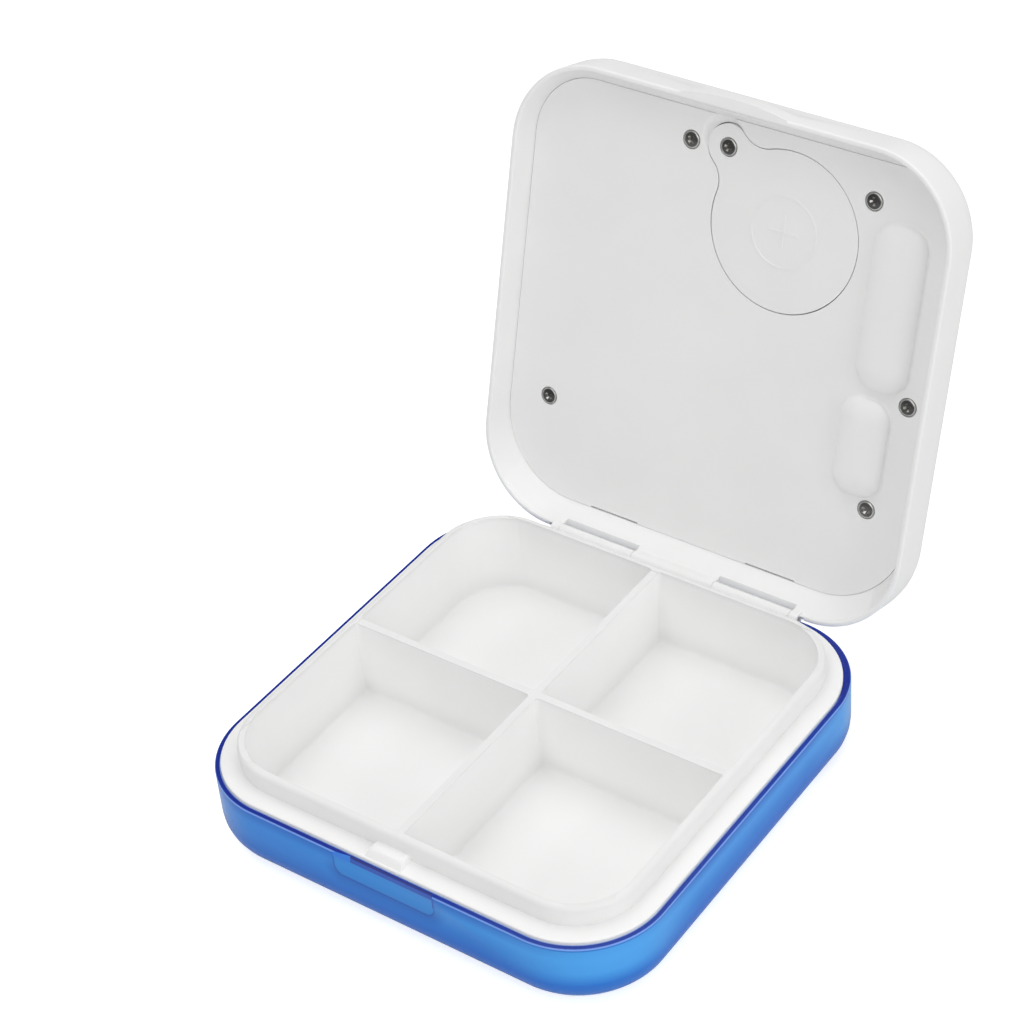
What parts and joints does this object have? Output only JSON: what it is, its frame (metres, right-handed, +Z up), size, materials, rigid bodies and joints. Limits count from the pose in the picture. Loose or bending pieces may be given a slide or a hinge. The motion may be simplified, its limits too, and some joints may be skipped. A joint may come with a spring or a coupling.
{
  "type": "pill box with timer",
  "caption": "Square hinged pill box with a divided tray, whose lid is an alarm timer with a digital display, push buttons, a round battery door and a vibration motor.",
  "frame": {"origin": "middle of the flat underside of the base", "axes": "+Z up from the surface it stands on, -Y towards the latch side that the user faces, +Y towards the hinge, X along the hinge axis"},
  "size_m": [0.068, 0.0953, 0.0772],
  "materials": {
    "blue_plastic": "translucent blue, satin outside",
    "white_plastic": "fine matte white",
    "steel": "plain steel",
    "dark_steel": "dark plated steel",
    "cell_metal": "satin nickel plate",
    "clear_window": "clear, polished",
    "display_glass": "grey green liquid crystal display",
    "connector_rubber": "striped black and white rubber",
    "board_green": "green solder mask",
    "black_plastic": "black moulding",
    "brass": "plain brass",
    "led_lens": "brown tinted lens"
  },
  "bodies": {
    "base": {"outer_shell": "blue_plastic", "inner_tray": "white_plastic", "hinge_pin_left": "steel", "hinge_pin_right": "steel"},
    "lid": {"lid_shell": "white_plastic", "lid_panel": "white_plastic", "panel_screw_1": "dark_steel", "panel_screw_2": "dark_steel", "panel_screw_3": "dark_steel", "panel_screw_4": "dark_steel", "panel_screw_5": "dark_steel", "battery_door": "white_plastic", "battery_door_screw": "dark_steel", "coin_cell": "cell_metal", "battery_contact_rim": "brass", "battery_contact_top": "brass", "circuit_board": "board_green", "processor_chip": "black_plastic", "clock_crystal": "steel", "alarm_buzzer": "black_plastic", "alarm_led": "led_lens", "hour_switch": "black_plastic", "mode_switch": "black_plastic", "minute_switch": "black_plastic", "vibration_motor": "steel", "capacitor": "black_plastic", "display_window": "clear_window", "lcd_glass": "display_glass", "lcd_connector_front": "connector_rubber", "lcd_connector_rear": "connector_rubber"},
    "hour_key": {"hour_button": "white_plastic"},
    "mode_key": {"mode_button": "white_plastic"},
    "minute_key": {"minute_button": "white_plastic"},
    "motor_rotor": {"motor_shaft": "steel", "motor_weight": "brass"}
  },
  "joints": [
    {"name": "lid_hinge", "type": "hinge", "parent": "base", "child": "lid", "pos_m": [0, 0.034, 0.0111], "axis": [1, 0, 0], "range_deg": [0, 106.2]},
    {"name": "hour_press", "type": "slide", "parent": "lid", "child": "hour_key", "axis": [0, -0.9603, 0.279], "range_m": [0, 0.0004], "stiffness_N_per_m": 400, "springref_m": -0.0005},
    {"name": "mode_press", "type": "slide", "parent": "lid", "child": "mode_key", "axis": [0, -0.9603, 0.279], "range_m": [0, 0.0004], "stiffness_N_per_m": 400, "springref_m": -0.0005},
    {"name": "minute_press", "type": "slide", "parent": "lid", "child": "minute_key", "axis": [0, -0.9603, 0.279], "range_m": [0, 0.0004], "stiffness_N_per_m": 400, "springref_m": -0.0005},
    {"name": "motor_spin", "type": "hinge", "parent": "lid", "child": "motor_rotor", "pos_m": [0.0253, 0.05169, 0.05262], "axis": [0, -0.279, -0.9603], "continuous": true}
  ]
}
